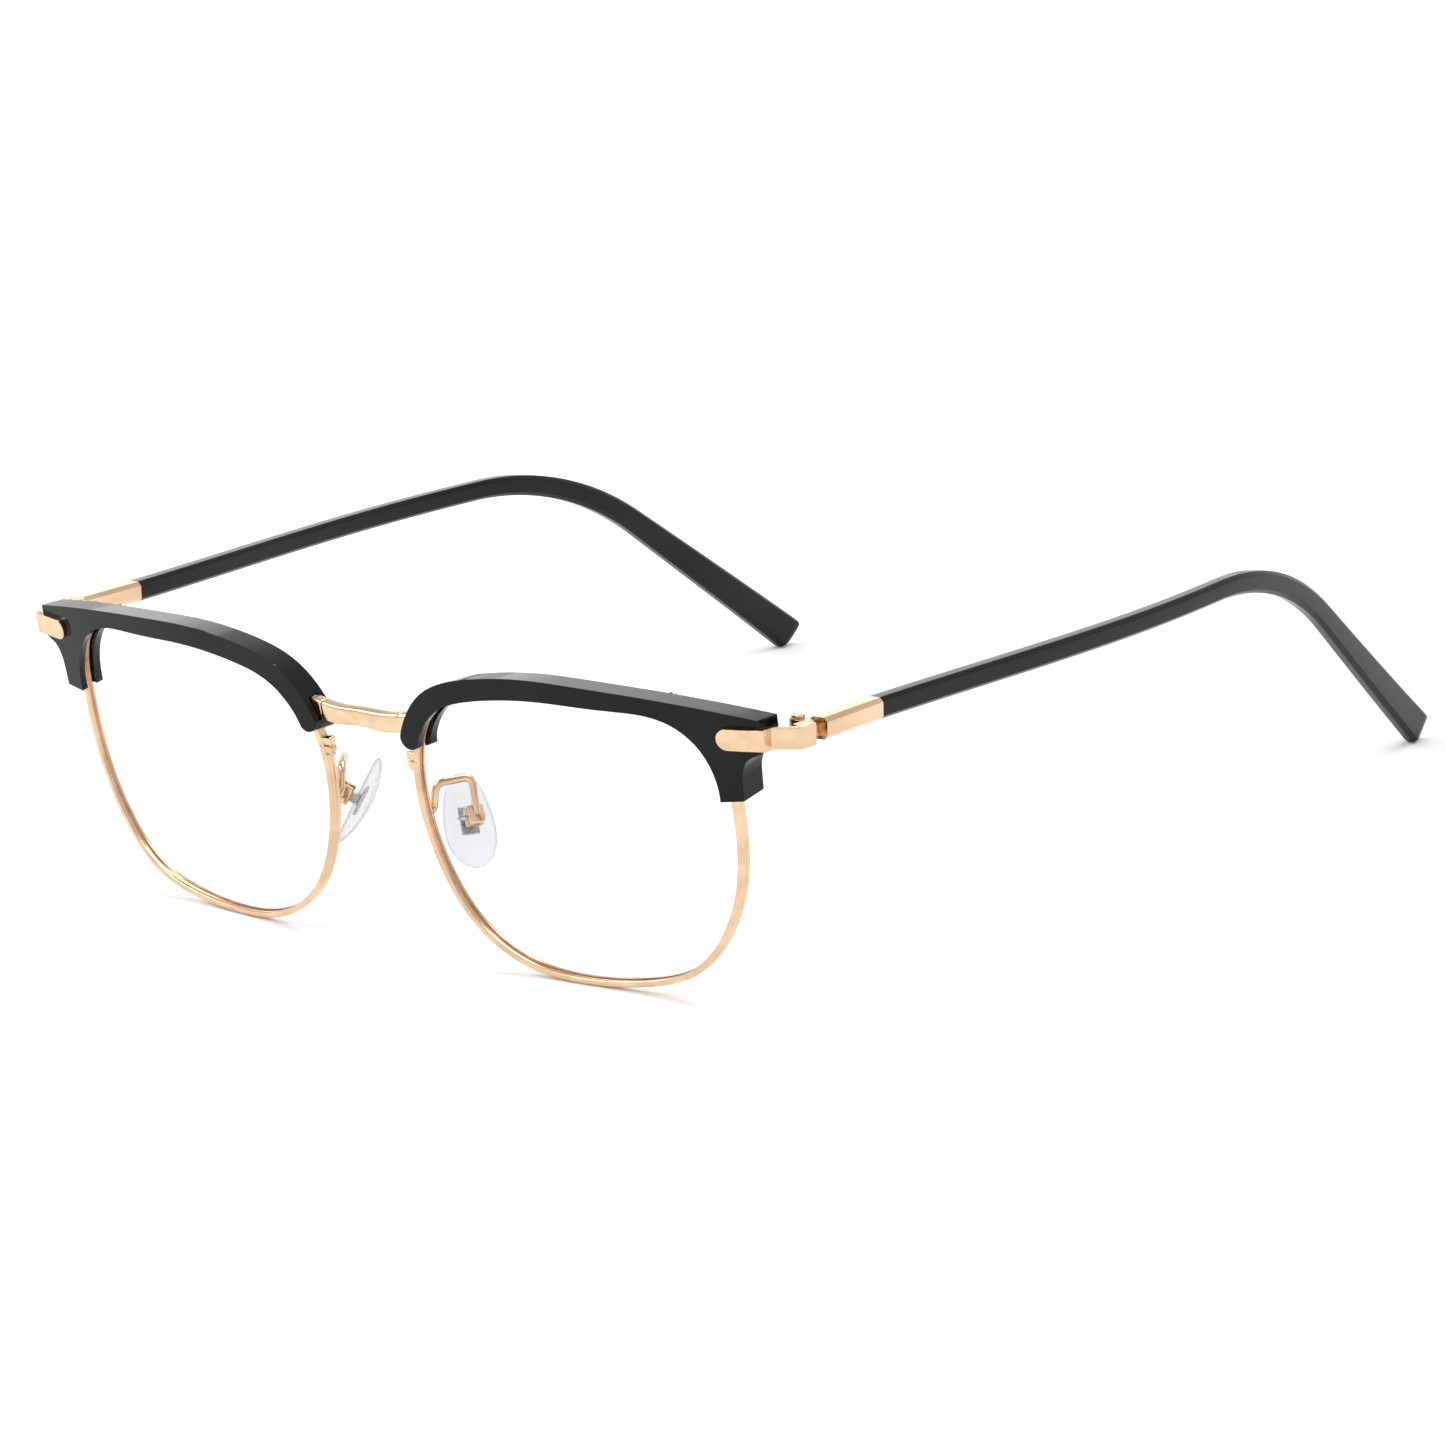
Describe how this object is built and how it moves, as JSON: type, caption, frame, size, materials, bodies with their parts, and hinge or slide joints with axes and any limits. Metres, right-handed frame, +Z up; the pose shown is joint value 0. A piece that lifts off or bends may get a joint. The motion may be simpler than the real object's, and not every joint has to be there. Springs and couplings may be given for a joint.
{
  "type": "browline eyeglasses",
  "caption": "Half rim eyeglasses with black brow caps over thin metal eyewires, a metal bridge, adjustable nose pads and folding temples.",
  "frame": {"origin": "middle of the bounding box, on the table the glasses stand on", "axes": "+X to the wearer's left, +Y back along the temples to their tips, +Z up"},
  "size_m": [0.1436, 0.1818, 0.0442],
  "materials": {
    "black_plastic": "polished black acetate",
    "gold_metal": "polished pale gold plating",
    "bridge_metal": "polished pale rose gold plating",
    "clear_lens": "clear, coated",
    "clear_pad": "clear soft silicone",
    "steel": "bright turned steel"
  },
  "bodies": {
    "front": {"bridge": "bridge_metal", "eyewire_left": "gold_metal", "eyewire_right": "gold_metal", "rim_lock_screws": "steel", "lens_left": "clear_lens", "lens_right": "clear_lens", "brow_cap_left": "black_plastic", "brow_cap_right": "black_plastic", "cap_screws": "steel", "endpiece_left": "gold_metal", "endpiece_right": "gold_metal", "endpiece_rivets": "gold_metal", "hinge_front_left": "gold_metal", "hinge_front_right": "gold_metal", "hinge_screw_left": "gold_metal", "hinge_screw_right": "gold_metal", "pad_arm_left": "gold_metal", "pad_arm_right": "gold_metal", "pad_screws": "steel"},
    "temple_left": {"hinge_temple_left": "gold_metal", "temple_sleeve_left": "gold_metal", "temple_core_left": "steel", "temple_left": "black_plastic"},
    "nose_pad_left": {"nose_pad_left": "clear_pad", "pad_insert_left": "steel"},
    "temple_right": {"hinge_temple_right": "gold_metal", "temple_sleeve_right": "gold_metal", "temple_core_right": "steel", "temple_right": "black_plastic"},
    "nose_pad_right": {"nose_pad_right": "clear_pad", "pad_insert_right": "steel"}
  },
  "joints": [
    {"name": "temple_left_hinge", "type": "hinge", "parent": "front", "child": "temple_left", "pos_m": [0.06505, -0.07624, 0.03911], "axis": [0, 0, 1], "range_deg": [0, 90]},
    {"name": "temple_right_hinge", "type": "hinge", "parent": "front", "child": "temple_right", "pos_m": [-0.06505, -0.07624, 0.03911], "axis": [0, 0, -1], "range_deg": [0, 78]},
    {"name": "nose_pad_left_rock", "type": "hinge", "parent": "front", "child": "nose_pad_left", "pos_m": [0.01172, -0.07956, 0.02027], "axis": [-0.5014, -0.8652, -0.0017], "range_deg": [-10, 10]},
    {"name": "nose_pad_right_rock", "type": "hinge", "parent": "front", "child": "nose_pad_right", "pos_m": [-0.01172, -0.07956, 0.02027], "axis": [-0.5014, 0.8652, 0.0017], "range_deg": [-10, 10]}
  ]
}
